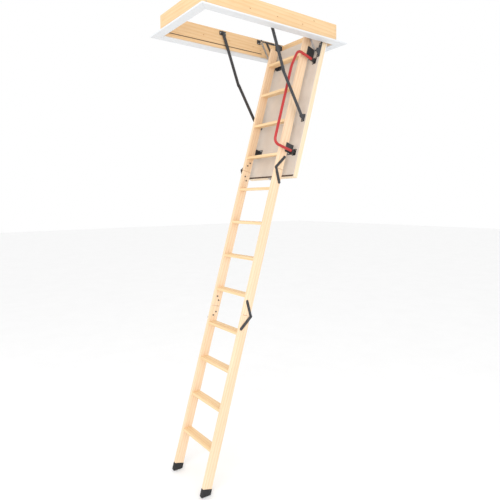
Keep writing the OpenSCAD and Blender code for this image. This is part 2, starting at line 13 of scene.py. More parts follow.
import bmesh
import bpy
import numpy as np
from mathutils import Matrix, Vector


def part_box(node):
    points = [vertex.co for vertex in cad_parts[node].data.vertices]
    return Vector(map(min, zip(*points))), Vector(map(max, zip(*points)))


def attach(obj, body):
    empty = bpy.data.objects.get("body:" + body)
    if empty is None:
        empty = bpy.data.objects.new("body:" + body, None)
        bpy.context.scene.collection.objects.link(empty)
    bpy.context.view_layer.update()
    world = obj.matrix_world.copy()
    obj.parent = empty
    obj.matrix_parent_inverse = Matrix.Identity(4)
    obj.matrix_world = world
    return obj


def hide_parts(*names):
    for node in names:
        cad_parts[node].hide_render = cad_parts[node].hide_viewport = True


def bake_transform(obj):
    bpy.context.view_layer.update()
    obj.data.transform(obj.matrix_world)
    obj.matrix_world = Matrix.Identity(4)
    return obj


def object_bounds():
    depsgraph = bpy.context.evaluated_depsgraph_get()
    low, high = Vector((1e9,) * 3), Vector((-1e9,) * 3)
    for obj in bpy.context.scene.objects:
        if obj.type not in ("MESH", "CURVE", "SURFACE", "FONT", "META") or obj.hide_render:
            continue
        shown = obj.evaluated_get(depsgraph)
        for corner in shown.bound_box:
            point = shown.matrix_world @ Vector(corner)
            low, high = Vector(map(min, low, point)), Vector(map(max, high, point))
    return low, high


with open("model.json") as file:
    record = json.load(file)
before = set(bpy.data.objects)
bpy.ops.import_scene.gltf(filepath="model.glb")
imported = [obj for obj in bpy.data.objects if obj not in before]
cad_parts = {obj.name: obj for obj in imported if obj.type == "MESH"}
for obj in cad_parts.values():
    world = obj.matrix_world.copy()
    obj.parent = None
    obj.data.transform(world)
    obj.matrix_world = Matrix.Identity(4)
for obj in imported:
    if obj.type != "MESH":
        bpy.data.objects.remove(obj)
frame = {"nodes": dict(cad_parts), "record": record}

LOG = logging.getLogger("loft_ladder")
MM = 0.001
RECORD = frame["record"]
CAD_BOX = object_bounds()


# ----------------------------------------------------------------------------- frame of the slope


@dataclass(frozen=True)
class Slope:
    """The plane frame of the opened hatch: distance down the slope, depth behind, width.

    Args:
        hinge_x: x of the hatch's hinge axis, in metres.
        hinge_z: z of the hatch's hinge axis, in metres.
        up_x: x part of the unit vector up the slope.
        up_z: z part of the unit vector up the slope.
    """

    hinge_x: float
    hinge_z: float
    up_x: float
    up_z: float

    @property
    def angle(self) -> float:
        """Angle of the slope above the floor, in radians."""
        return math.atan2(self.up_z, self.up_x)

    def place(self, s: np.ndarray, n: np.ndarray, y: np.ndarray) -> np.ndarray:
        """Turns slope distance, depth and width into points of the row frame.

        The point is the hinge axis, less s times the up vector, plus n times its square.

        Args:
            s: distance down the slope from the hinge axis.
            n: depth behind the hinge axis, square to the slope.
            y: width coordinate, left of the climber.

        Returns:
            An array of points with a last axis of three.
        """
        s, n, y = np.broadcast_arrays(s, n, y)
        x = self.hinge_x - s * self.up_x + n * self.up_z
        z = self.hinge_z - s * self.up_z - n * self.up_x
        return np.stack([x, y, z], axis=-1)

    def measure(self, node: str, side: int = 0) -> np.ndarray:
        """Extent of a node in slope distance, depth and width.

        Args:
            node: name of the CAD node.
            side: 1 or -1 keeps only the solids on that side of the ladder, 0 keeps all.

        Returns:
            A 3 by 2 array: low and high of s, of n and of y.
        """
        co = node_points(node)
        if side:
            co = co[co[:, 1] * side > 0]
        dx, dz = co[:, 0] - self.hinge_x, co[:, 2] - self.hinge_z
        s = -(dx * self.up_x + dz * self.up_z)
        n = dx * self.up_z - dz * self.up_x
        return np.array([[a.min(), a.max()] for a in (s, n, co[:, 1])])


def node_points(node: str) -> np.ndarray:
    """All vertices of a CAD node, in the row frame, in metres."""
    mesh = frame["nodes"][node].data
    co = np.empty(len(mesh.vertices) * 3, np.float32)
    mesh.vertices.foreach_get("co", co)
    return co.reshape(-1, 3).astype(float)


def joint_named(name: str) -> dict:
    """The record's entry of one joint."""
    return next(j for j in RECORD["behaviour"]["joints"] if j["name"] == name)


def body_with(node: str) -> str:
    """The body that a CAD node belongs to."""
    return next(b for b, nodes in RECORD["behaviour"]["bodies"].items() if node in nodes)


def slot_with(node: str) -> str:
    """The material slot of a CAD node."""
    return next(p["material_slot"] for p in RECORD["subparts"] if p["node"] == node)


def slope_from_record() -> Slope:
    """Reads the hinge axis and the slope's direction from the joints."""
    hinge = joint_named("hatch_swing")["pos_m"]
    up = joint_named("latch_slide")["axis"]
    return Slope(hinge[0], hinge[2], up[0], up[2])


SLOPE = slope_from_record()


# ----------------------------------------------------------------------------- finishes


class Grain(Enum):
    """Which way the fibres of a wooden piece run."""

    ALONG_X = "x"
    ALONG_Y = "y"
    DOWN_SLOPE = "slope"


class Pattern:
    """A small builder of node chains for one material.

    Args:
        name: name of the material.
    """

    def __init__(self, name: str) -> None:
        """Starts a material with its Principled shader."""
        self.material = bpy.data.materials.new(name)
        self.material.use_nodes = True
        self.tree = self.material.node_tree
        self.shader = self.tree.nodes["Principled BSDF"]
        self.coords = self.tree.nodes.new("ShaderNodeTexCoord").outputs["Object"]

    def node(self, kind: str, **values: object) -> bpy.types.Node:
        """Adds a node and sets the named attributes or input sockets.

        Args:
            kind: the node's class name.
            values: attributes of the node, or inputs by name with spaces as underscores.

        Returns:
            The new node.
        """
        made = self.tree.nodes.new(kind)
        for key, value in values.items():
            if hasattr(made, key):
                setattr(made, key, value)
            else:
                made.inputs[key.replace("_", " ")].default_value = value
        return made

    def join(self, a: bpy.types.NodeSocket, b: bpy.types.NodeSocket) -> None:
        """Links one socket to another."""
        self.tree.links.new(a, b)

    def mapped(self, scale: tuple, turn: tuple = (0, 0, 0), shift: tuple = (0, 0, 0),
               source: bpy.types.NodeSocket | None = None) -> bpy.types.NodeSocket:
        """Object coordinates turned and stretched for one texture.

        Args:
            scale: stretch along each axis after the turn.
            turn: rotation in radians.
            shift: offset of the pattern.
            source: coordinates to start from, or None for Object coordinates.

        Returns:
            The vector socket to read.
        """
        first = self.node("ShaderNodeMapping")
        first.inputs["Rotation"].default_value = turn
        self.join(source or self.coords, first.inputs["Vector"])
        second = self.node("ShaderNodeMapping")
        second.inputs["Scale"].default_value = scale
        second.inputs["Location"].default_value = shift
        self.join(first.outputs["Vector"], second.inputs["Vector"])
        return second.outputs["Vector"]

    def noise(self, vector: bpy.types.NodeSocket, scale: float, detail: float = 6,
              rough: float = 0.55, distort: float = 0.0) -> bpy.types.NodeSocket:
        """Fractal noise read at a vector, as a factor socket."""
        made = self.node("ShaderNodeTexNoise", Scale=scale, Detail=detail, Roughness=rough,
                         Distortion=distort)
        self.join(vector, made.inputs["Vector"])
        return made.outputs["Fac"]

    def ramp(self, factor: bpy.types.NodeSocket, stops: list) -> bpy.types.NodeSocket:
        """A colour ramp over (position, colour) stops.

        Args:
            factor: socket that drives the ramp.
            stops: pairs of position and RGB colour.

        Returns:
            The colour socket.
        """
        made = self.node("ShaderNodeValToRGB")
        while len(made.color_ramp.elements) < len(stops):
            made.color_ramp.elements.new(0.5)
        for element, (position, colour) in zip(made.color_ramp.elements, stops):
            element.position = position
            element.color = (*colour, 1)
        self.join(factor, made.inputs["Fac"])
        return made.outputs["Color"]

    def mix(self, mode: str, factor: float | bpy.types.NodeSocket, a: bpy.types.NodeSocket,
            b: bpy.types.NodeSocket) -> bpy.types.NodeSocket:
        """Mixes two colours by a number or by a socket."""
        made = self.node("ShaderNodeMix", data_type="RGBA", blend_type=mode)
        if isinstance(factor, (int, float)):
            made.inputs["Factor"].default_value = factor
        else:
            self.join(factor, made.inputs["Factor"])
        self.join(a, made.inputs["A"])
        self.join(b, made.inputs["B"])
        return made.outputs["Result"]

    def bump(self, height: bpy.types.NodeSocket, strength: float, distance: float) -> None:
        """Adds a bump from a height socket, on top of any bump already there."""
        made = self.node("ShaderNodeBump", Strength=strength, Distance=distance)
        links = self.shader.inputs["Normal"].links
        if links:
            self.join(links[0].from_socket, made.inputs["Normal"])
        self.join(height, made.inputs["Height"])
        self.join(made.outputs["Normal"], self.shader.inputs["Normal"])

    def rough_range(self, factor: bpy.types.NodeSocket, low: float, high: float) -> None:
        """Drives the roughness between two values by a factor."""
        made = self.node("ShaderNodeMapRange")
        made.inputs["To Min"].default_value = low
        made.inputs["To Max"].default_value = high
        self.join(factor, made.inputs["Value"])
        self.join(made.outputs["Result"], self.shader.inputs["Roughness"])


@dataclass(frozen=True)
class Timber:
    """Planed softwood: growth bands, fine fibres and a few knots.

    Args:
        pale: colour of the early wood.
        warm: colour of the late wood.
        dark: colour of knots and of the deepest lines.
        knots: size of the knots, 0 for clear wood.
        figure: contrast of the growth bands.
    """

    pale: tuple
    warm: tuple
    dark: tuple
    knots: float = 0.5
    figure: float = 0.6

    def turn(self, grain: Grain) -> tuple:
        """Rotation that lays the fibres along the texture's X axis."""
        if grain is Grain.ALONG_Y:
            return (0.0, 0.0, math.radians(90))
        if grain is Grain.DOWN_SLOPE:
            return (0.0, SLOPE.angle, 0.0)
        return (0.0, 0.0, 0.0)

    def build(self, name: str, grain: Grain, seed: int) -> bpy.types.Material:
        """Makes the wood of one piece.

        Growth bands are a wave across the fibres, bent by slow noise; fibres are noise drawn
        out forty times along the grain; knots are the centres of stretched cells.

        Args:
            name: name of the material.
            grain: direction of the fibres.
            seed: moves the pattern, so that no two boards match.

        Returns:
            The material.
        """
        p = Pattern(name)
        turn = self.turn(grain)
        shift = (seed * 1.37, seed * 0.61, seed * 0.83)
        bands = self.node_bands(p, turn, shift)
        late = tuple(w * self.figure + q * (1 - self.figure) for q, w in zip(self.pale, self.warm))
        body = p.ramp(bands, [(0.0, self.pale), (0.45, self.pale), (0.88, late),
                              (1.0, tuple(c * 0.96 for c in late))])
        slow = p.noise(p.mapped((1.1, 7, 7), turn, shift), 2.2, 3, 0.5)
        tint = p.ramp(slow, [(0.3, (1.0, 1.0, 1.0)), (0.7, (0.93, 0.885, 0.82))])
        body = p.mix("MULTIPLY", 0.8, body, tint)
        fibre = p.noise(p.mapped((9, 360, 360), turn, shift), 1.0, 5, 0.62)
        thread = p.ramp(fibre, [(0.35, (0.86, 0.80, 0.72)), (0.55, (1, 1, 1))])
        body = p.mix("MULTIPLY", 0.45, body, thread)
        if self.knots > 0:
            body = self.add_knots(p, body, turn, shift)
        p.join(body, p.shader.inputs["Base Color"])
        p.shader.inputs["Specular IOR Level"].default_value = 0.38
        p.rough_range(fibre, 0.46, 0.62)
        p.bump(fibre, 0.14, 0.0006)
        p.bump(bands, 0.08, 0.0006)
        return p.material

    def node_bands(self, p: Pattern, turn: tuple, shift: tuple) -> bpy.types.NodeSocket:
        """Growth bands: a saw wave across the board, distorted along it."""
        wave = p.node("ShaderNodeTexWave", wave_type="BANDS", bands_direction="DIAGONAL",
                      wave_profile="SAW", Scale=1.0, Distortion=5.5, Detail=2.5,
                      Detail_Scale=0.55, Detail_Roughness=0.5)
        p.join(p.mapped((0.9, 34, 27), turn, shift), wave.inputs["Vector"])
        return wave.outputs["Fac"]

    def add_knots(self, p: Pattern, body: bpy.types.NodeSocket, turn: tuple,
                  shift: tuple) -> bpy.types.NodeSocket:
        """Lays brown knots with a soft ring over the wood."""
        cells = p.node("ShaderNodeTexVoronoi", feature="F1", Scale=1.0, Randomness=1.0)
        p.join(p.mapped((4.2, 11, 11), turn, shift), cells.inputs["Vector"])
        size = 0.12 * self.knots
        mask = p.ramp(cells.outputs["Distance"],
                      [(0.0, (1, 1, 1)), (size * 0.6, (0.75, 0.75, 0.75)), (size, (0, 0, 0))])
        shade = p.ramp(cells.outputs["Distance"],
                       [(0.0, self.dark), (size, tuple(c * 0.92 for c in self.warm))])
        return p.mix("MIX", mask, body, shade)


@dataclass(frozen=True)
class Coat:
    """Paint, powder coat or moulded plastic over a body.

    Args:
        colour: main colour.
        rough: mean roughness.
        grain_mm: size of the surface's texture, in millimetres.
        relief: strength of the texture's bump.
        spread: how far the colour drifts over the surface.
        metal: metallic share.
        clear: weight of a clear top coat.
    """

    colour: tuple
    rough: float
    grain_mm: float = 1.2
    relief: float = 0.10
    spread: float = 0.06
    metal: float = 0.0
    clear: float = 0.0

    def build(self, name: str, grain: Grain = Grain.ALONG_X, seed: int = 0) -> bpy.types.Material:
        """Makes the coat: slow colour drift, fine relief and scuffed gloss.

        Args:
            name: name of the material.
            grain: unused by a coat, kept so that all finishes are built alike.
            seed: moves the pattern.

        Returns:
            The material.
        """
        p = Pattern(name)
        shift = (seed * 0.7, seed * 1.3, seed * 0.4)
        slow = p.noise(p.mapped((6, 6, 6), shift=shift), 1.0, 4, 0.6)
        low = tuple(max(c * (1 - self.spread * 1.6), 0) for c in self.colour)
        high = tuple(min(c * (1 + self.spread), 1) for c in self.colour)
        p.join(p.ramp(slow, [(0.28, low), (0.72, high)]), p.shader.inputs["Base Color"])
        fine = p.noise(p.mapped((1, 1, 1), shift=shift), 1000.0 / self.grain_mm / 2, 3, 0.5)
        scuff = p.noise(p.mapped((22, 22, 22), shift=shift), 1.0, 6, 0.7)
        p.rough_range(scuff, self.rough * 0.82, min(self.rough * 1.2, 1.0))
        p.bump(fine, self.relief, 0.0004)
        p.shader.inputs["Metallic"].default_value = self.metal
        p.shader.inputs["Coat Weight"].default_value = self.clear
        p.shader.inputs["Coat Roughness"].default_value = 0.12
        return p.material


FINISHES: dict = {
    "casing_pine": Timber((0.88, 0.63, 0.37), (0.76, 0.47, 0.21), (0.36, 0.17, 0.06), 0.45, 0.35),
    "stringer_pine": Timber((0.90, 0.69, 0.49), (0.80, 0.56, 0.35), (0.50, 0.27, 0.12), 0.3, 0.6),
    "tread_pine": Timber((0.88, 0.66, 0.40), (0.78, 0.52, 0.27), (0.46, 0.23, 0.09), 0.25, 0.6),
    "hatch_pine": Timber((0.89, 0.75, 0.56), (0.80, 0.61, 0.40), (0.5, 0.3, 0.14), 0.0),
    "hatch_board": Coat((0.66, 0.585, 0.51), 0.62, 2.2, 0.10, 0.07),
    "hatch_white": Coat((0.84, 0.84, 0.83), 0.45, 3.0, 0.05, 0.02),
    "trim_white": Coat((0.74, 0.76, 0.78), 0.42, 3.0, 0.05, 0.02),
    "insulation": Coat((0.80, 0.82, 0.84), 0.9, 3.5, 0.5, 0.05),
    "zinc": Coat((0.66, 0.65, 0.60), 0.34, 0.9, 0.06, 0.08, metal=1.0),
    "bright_steel": Coat((0.52, 0.52, 0.53), 0.30, 0.9, 0.06, 0.10, metal=1.0),
    "dark_steel": Coat((0.040, 0.041, 0.046), 0.46, 0.8, 0.14, 0.12),
    "rail_red": Coat((0.46, 0.012, 0.012), 0.34, 0.9, 0.05, 0.06, clear=0.35),
    "black_plastic": Coat((0.016, 0.016, 0.018), 0.42, 1.0, 0.16, 0.10),
    "black_rubber": Coat((0.014, 0.014, 0.015), 0.62, 1.1, 0.30, 0.12),
    "seal_brown": Coat((0.085, 0.052, 0.034), 0.85, 1.2, 0.40, 0.10),
}

ACROSS = ("casing_free_end", "casing_hinge_end")


def grain_of(node: str) -> Grain:
    """Direction of the fibres in a node: down the slope, across or along the casing."""
    if node.startswith("stringer") or node.startswith("hatch"):
        return Grain.DOWN_SLOPE
    if node.startswith("tread") or node in ACROSS:
        return Grain.ALONG_Y
    return Grain.ALONG_X


def finish_for(node: str) -> bpy.types.Material:
    """The material of a node: one of its own for wood, one a slot for the rest."""
    slot = slot_with(node)
    finish = FINISHES[slot]
    seed = sorted(frame["nodes"]).index(node) + 1
    if isinstance(finish, Timber):
        return finish.build(f"{slot}_{node}", grain_of(node), seed)
    return bpy.data.materials.get(f"finish_{slot}") or finish.build(f"finish_{slot}")


# ----------------------------------------------------------------------------- mesh helpers


def grid_faces(rows: int, columns: int, wrap: bool = True) -> np.ndarray:
    """Quads of a grid of rows by columns, closed across the columns if wrap is true."""
    last = columns if wrap else columns - 1
    i, j = np.meshgrid(np.arange(rows - 1), np.arange(last), indexing="ij")
    a = i * columns + j
    b = i * columns + (j + 1) % columns
    return np.stack([a, b, b + columns, a + columns], axis=-1).reshape(-1, 4)


def mesh_object(name: str, points: np.ndarray, faces: list, smooth: float = 35) -> bpy.types.Object:
    """Puts points and faces into a mesh object at the origin.

    Args:
        name: name of the piece.
        points: N by 3 array of places in metres.
        faces: index tuples, of any length.
        smooth: edges that turn more than this many degrees stay sharp.

    Returns:
        The new object, linked to the scene.
    """
    mesh = bpy.data.meshes.new(name)
    mesh.from_pydata(points.tolist(), [], faces)
    bm = bmesh.new()
    bm.from_mesh(mesh)
    bmesh.ops.recalc_face_normals(bm, faces=bm.faces)
    bm.to_mesh(mesh)
    bm.free()
    mesh.shade_smooth()
    mesh.set_sharp_from_angle(angle=math.radians(smooth))
    made = bpy.data.objects.new(name, mesh)
    bpy.context.scene.collection.objects.link(made)
    return made


def lofted(name: str, rings: np.ndarray, smooth: float = 35) -> bpy.types.Object:
    """Skins rows of closed rings and caps both ends.

    Args:
        name: name of the piece.
        rings: rows by ring points by 3 array.
        smooth: angle in degrees above which edges stay sharp.

    Returns:
        The closed piece.
    """
    rows, columns = rings.shape[:2]
    faces = [tuple(f) for f in grid_faces(rows, columns).tolist()]
    faces.append(tuple(range(columns - 1, -1, -1)))
    faces.append(tuple(range((rows - 1) * columns, rows * columns)))
    return mesh_object(name, rings.reshape(-1, 3), faces, smooth)


def tube_rings(path: np.ndarray, radius: float | np.ndarray, sides: int = 20) -> np.ndarray:
    """Circles carried along a path, square to it.

    Each circle is r cos(t) times a side vector plus r sin(t) times its square.  The side
    vector is the same world vector made square to the path's direction at every point.

    Args:
        path: N by 3 array of centres.
        radius: one radius, or one for each point.
        sides: points round each circle.

    Returns:
        N by sides by 3 array.
    """
    along = np.gradient(path, axis=0)
    along /= np.linalg.norm(along, axis=1, keepdims=True)
    guide = np.tile(np.array([0.0, 1.0, 0.0]), (len(path), 1))
    flat = np.abs(np.sum(guide * along, axis=1)) > 0.95
    guide[flat] = (0.0, 0.0, 1.0)
    one = np.cross(along, guide)
    one /= np.linalg.norm(one, axis=1, keepdims=True)
    two = np.cross(along, one)
    t = np.linspace(0, 2 * np.pi, sides, endpoint=False)
    r = np.broadcast_to(radius, len(path))[:, None, None]
    round_ = np.cos(t)[None, :, None] * one[:, None] + np.sin(t)[None, :, None] * two[:, None]
    return path[:, None] + r * round_


def rounded_outline(half_a: float, half_b: float, radius: float, steps: int = 5) -> np.ndarray:
    """Outline of a rectangle with round corners: four quarter arcs joined in turn."""
    t = np.linspace(0, np.pi / 2, steps)
    arc = np.stack([np.cos(t), np.sin(t)], axis=-1) * radius
    quarter = arc + (half_a - radius, half_b - radius)
    flip = np.array([[1, 1], [-1, 1], [-1, -1], [1, -1]])
    parts = [quarter * flip[k] if k % 2 == 0 else (quarter * flip[k])[::-1] for k in range(4)]
    return np.concatenate(parts)


def joined(name: str, pieces: list) -> bpy.types.Object:
    """Joins several objects into one piece with the given name."""
    bm = bmesh.new()
    for piece in pieces:
        bm.from_mesh(piece.data)
    mesh = bpy.data.meshes.new(name)
    bm.to_mesh(mesh)
    bm.free()
    for piece in pieces:
        bpy.data.objects.remove(piece)
    made = bpy.data.objects.new(name, mesh)
    bpy.context.scene.collection.objects.link(made)
    return made


def fit_to_body(piece: bpy.types.Object, *nodes: str) -> bpy.types.Object:
    """Dresses a new piece as the nodes it stands for, and lets it ride on their body."""
    piece.data.materials.clear()
    piece.data.materials.append(finish_for(nodes[0]))
    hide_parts(*nodes)
    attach(piece, body_with(nodes[0]))
    LOG.info("made %s for %s", piece.name, ", ".join(nodes))
    return piece


def softened(node: str, radius_mm: float, steps: int = 2) -> bpy.types.Object:
    """A copy of a node with welded faces and small rounds on its edges.

    Args:
        node: CAD node to copy.
        radius_mm: width of the rounds, in millimetres.
        steps: segments in each round.

    Returns:
        The new piece, already dressed and riding.
    """
    mesh = frame["nodes"][node].data.copy()
    bm = bmesh.new()
    bm.from_mesh(mesh)
    bmesh.ops.remove_doubles(bm, verts=bm.verts, dist=1e-6)
    bmesh.ops.dissolve_limit(bm, angle_limit=math.radians(2), verts=bm.verts, edges=bm.edges)
    bm.to_mesh(mesh)
    bm.free()
    mesh.shade_smooth()
    mesh.set_sharp_from_angle(angle=math.radians(32))
    piece = bpy.data.objects.new(f"{node}_piece", mesh)
    bpy.context.scene.collection.objects.link(piece)
    rounds = piece.modifiers.new("rounds", "BEVEL")
    rounds.width = radius_mm * MM
    rounds.segments = steps
    rounds.limit_method = "ANGLE"
    rounds.angle_limit = math.radians(40)
    rounds.harden_normals = True
    return fit_to_body(piece, node)


# ----------------------------------------------------------------------------- sub-assemblies


@dataclass
class Casing:
    """The casing boards, their trim and the steel fixed to them."""

    strips: tuple = ("trim_left", "trim_right", "trim_free_end", "trim_hinge_end")
    plates: tuple = ("arm_brackets", "hinge_brackets", "spring_anchors", "strike_plate")
    screws: tuple = ("casing_screws", "bracket_screws")
    edge_mm: float = 1.2

    def build(self) -> None:
        """Softens the strips, plates and screws; the boards keep their grooves and holes."""
        for node in self.strips:
            softened(node, self.edge_mm)
        for node in self.plates:
            softened(node, 0.5)
        for node in self.screws:
            softened(node, 0.6, 3)


@dataclass
class Hatch:
    """The insulated panel with its latch, levers, lugs and stand-off brackets."""

    plates: tuple = ("hinge_levers", "arm_lugs", "standoffs", "latch_case", "hook_eye")
    panels: tuple = ("hatch_outer_skin", "hatch_inner_skin")

    def build(self) -> None:
        """Softens the sheet-metal pieces and eases the edges of both skins."""
        for node in self.plates:
            softened(node, 0.5)
        for node in self.panels:
            softened(node, 0.8)
        softened("hatch_screws", 0.6, 3)


@dataclass
class Bars:
    """The six stringers, as rounded bars down the slope."""

    corner_mm: float = 3.0
    end_mm: float = 1.6
    nodes: tuple = tuple(f"stringer_{part}_{side}" for part in ("top", "mid", "low")
                         for side in ("left", "right"))

    def build(self) -> None:
        """Makes each stringer."""
        for node in self.nodes:
            fit_to_body(self.bar(node), node)

    def bar(self, node: str) -> bpy.types.Object:
        """A round-cornered rectangle carried down the slope, drawn in a little at both ends.

        Args:
            node: the stringer's CAD node.

        Returns:
            The new bar.
        """
        (s0, s1), (n0, n1), (y0, y1) = SLOPE.measure(node)
        ease = self.end_mm * MM
        stations = np.array([s0, s0 + ease * 0.3, s0 + ease, s1 - ease, s1 - ease * 0.3, s1])
        stations = np.concatenate([stations[:3], np.linspace(s0 + 0.01, s1 - 0.01, 40), stations[3:]])
        inset = np.zeros(len(stations))
        inset[[0, -1]] = ease
        inset[[1, -2]] = ease * 0.3
        half_n, half_y = (n1 - n0) / 2, (y1 - y0) / 2
        rings = []
        for s, cut in zip(stations, inset):
            outline = rounded_outline(half_n - cut, half_y - cut, self.corner_mm * MM)
            rings.append(SLOPE.place(s, (n0 + n1) / 2 + outline[:, 0], (y0 + y1) / 2 + outline[:, 1]))
        return lofted(f"{node}_bar", np.array(rings), 50)


@dataclass
class Treads:
    """The level treads with a rounded nose and anti-slip grooves."""

    count: int = 12
    nose_mm: float = 4.0
    back_mm: float = 2.0
    groove_mm: tuple = (2.4, 1.3)
    groove_at_mm: tuple = (12, 19, 26, 33)

    def build(self) -> None:
        """Makes every tread from its node's box."""
        for number in range(1, self.count + 1):
            node = f"tread_{number:02d}"
            fit_to_body(self.board(node), node)

    def outline(self, deep: float, thick: float) -> np.ndarray:
        """Side view of a tread: quarter arcs at the corners and round-bottomed grooves on top.

        Args:
            deep: depth from nose to back.
            thick: thickness.

        Returns:
            Points of x from the nose and z from the top, in metres.
        """
        nose, back = self.nose_mm * MM, self.back_mm * MM
        wide, low = (v * MM for v in self.groove_mm)
        t = np.linspace(0, np.pi / 2, 6)
        parts = [np.stack([nose - nose * np.cos(t), nose * np.sin(t) - nose], -1)]
        u = np.linspace(0, np.pi, 7)
        for at in self.groove_at_mm:
            parts.append(np.stack([at * MM + wide / 2 * (1 - np.cos(u)), -low * np.sin(u)], -1))
        parts.append(np.stack([deep - back + back * np.sin(t), back * np.cos(t) - back], -1))
        parts.append(np.stack([deep - back + back * np.cos(t), back - thick - back * np.sin(t)], -1))
        parts.append(np.stack([nose / 2 - nose / 2 * np.sin(t), nose / 2 - thick - nose / 2 * np.cos(t)], -1))
        return np.concatenate(parts)

    def board(self, node: str) -> bpy.types.Object:
        """The outline carried from the right end of the tread to the left."""
        low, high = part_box(node)
        side = self.outline(high.x - low.x, high.z - low.z)
        rows = np.linspace(low.y, high.y, 25)
        ones = np.ones(len(side))
        rings = [np.stack([low.x + side[:, 0], y * ones, high.z + side[:, 1]], -1) for y in rows]
        return lofted(f"{node}_board", np.array(rings), 38)


@dataclass
class Handrail:
    """The bent tube beside the top section and its moulded sockets."""

    bend: float = 0.042
    wide_bend: float = 0.26
    tilt: float = math.radians(12)
    rise: float = 0.062

    def build(self) -> None:
        """Makes the tube, and softens the sockets that hold it."""
        fit_to_body(self.tube(), "handrail")
        softened("handrail_brackets", 1.0, 3)

    def route(self, s0: float, s1: float, front: float, foot: float) -> np.ndarray:
        """Centre line in slope distance and depth: straights joined by arcs of a circle.

        Args:
            s0: slope distance of the upper foot.
            s1: slope distance of the lower foot.
            front: depth of the straight run.
            foot: depth where the tube enters its sockets.

        Returns:
            N by 2 array of s and n.
        """
        r, big, tilt = self.bend, self.wide_bend, self.tilt
        start = np.array([s0, front + self.rise])
        c1 = start + (r, 0)
        a = np.linspace(np.pi, 1.5 * np.pi - tilt, 16)
        first = c1 + r * np.stack([np.cos(a), np.sin(a)], -1)
        run = (first[-1, 1] - front - big * (1 - math.cos(tilt))) / math.sin(tilt)
        p3 = first[-1] + run * np.array([math.cos(tilt), -math.sin(tilt)])
        c2 = np.array([p3[0] + big * math.sin(tilt), front + big])
        b = np.linspace(1.5 * np.pi - tilt, 1.5 * np.pi, 10)
        second = c2 + big * np.stack([np.cos(b), np.sin(b)], -1)
        c3 = np.array([s1 - r, front + r])
        c = np.linspace(1.5 * np.pi, 2 * np.pi, 16)
        third = c3 + r * np.stack([np.cos(c), np.sin(c)], -1)
        feet = np.linspace(0, 1, 6)[:, None]
        lead = np.array([s0, foot]) * (1 - feet) + start * feet
        tail = third[-1] * (1 - feet) + np.array([s1, foot]) * feet
        middle = second[-1] * (1 - feet) + third[0] * feet
        return np.concatenate([lead[:-1], first, second, middle[1:-1], third, tail[1:]])

    def tube(self) -> bpy.types.Object:
        """A circle of the tube's radius carried along the route."""
        (s0, s1), (n0, n1), (y0, y1) = SLOPE.measure("handrail")
        radius = (y1 - y0) / 2
        line = self.route(s0 + radius, s1 - radius, n0 + radius, n1)
        path = SLOPE.place(line[:, 0], line[:, 1], (y0 + y1) / 2)
        return lofted("handrail_tube", tube_rings(path, radius, 28), 60)


@dataclass
class Springs:
    """The two extension springs between the casing posts and the hatch levers."""

    loop: float = 0.00765
    wire: float = 0.00125
    coil: float = 0.0064
    turns: int = 62

    def build(self) -> None:
        """Makes both springs as one piece, coiled from the casing posts to the hatch levers; the piece rides
        on no body.
        """
        low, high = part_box("springs")
        post = np.array([low.x + self.loop, 0, high.z - self.loop])
        pin = np.array([high.x - self.loop, 0, low.z + self.loop])
        width = high.y - self.loop
        pair = [self.spring(f"spring_{side}", post + (0, side_y * width, 0), pin + (0, side_y * width, 0))
                for side, side_y in (("left", 1), ("right", -1))]
        piece = joined("springs_coiled", pair)
        piece.data.materials.clear()
        piece.data.materials.append(finish_for("springs"))
        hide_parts("springs")
        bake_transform(piece)

    def spring(self, name: str, top: np.ndarray, bottom: np.ndarray) -> bpy.types.Object:
        """One wire: an eye, a helix and a second eye.

        The helix turns round the line from eye to eye and narrows to the line at both ends;
        each eye is a three-quarter circle in the plane square to the width.

        Args:
            name: name of the spring.
            top: centre of the upper eye.
            bottom: centre of the lower eye.

        Returns:
            The coiled wire.
        """
        line = bottom - top
        length = np.linalg.norm(line)
        axis = line / length
        side = np.array([0.0, 1.0, 0.0])
        up = np.cross(side, axis)
        start, end = self.loop + 0.004, length - self.loop - 0.004
        t = np.linspace(0, 1, self.turns * 14)
        taper = np.clip(np.minimum(t, 1 - t) * 22, 0.12, 1)
        turn = 2 * np.pi * self.turns * t
        reach = (start + (end - start) * t)[:, None] * axis
        body = top + reach + (self.coil * taper)[:, None] * (
            np.cos(turn)[:, None] * side + np.sin(turn)[:, None] * up)
        eye = self.loop - self.wire
        a = np.linspace(math.radians(300), math.radians(20), 26)[:, None]
        first = top + eye * (np.cos(a) * axis + np.sin(a) * up)
        last = bottom - eye * (np.cos(a[::-1]) * axis + np.sin(a[::-1]) * up)
        path = np.concatenate([first, body, last])
        return lofted(name, tube_rings(path, self.wire, 8), 60)


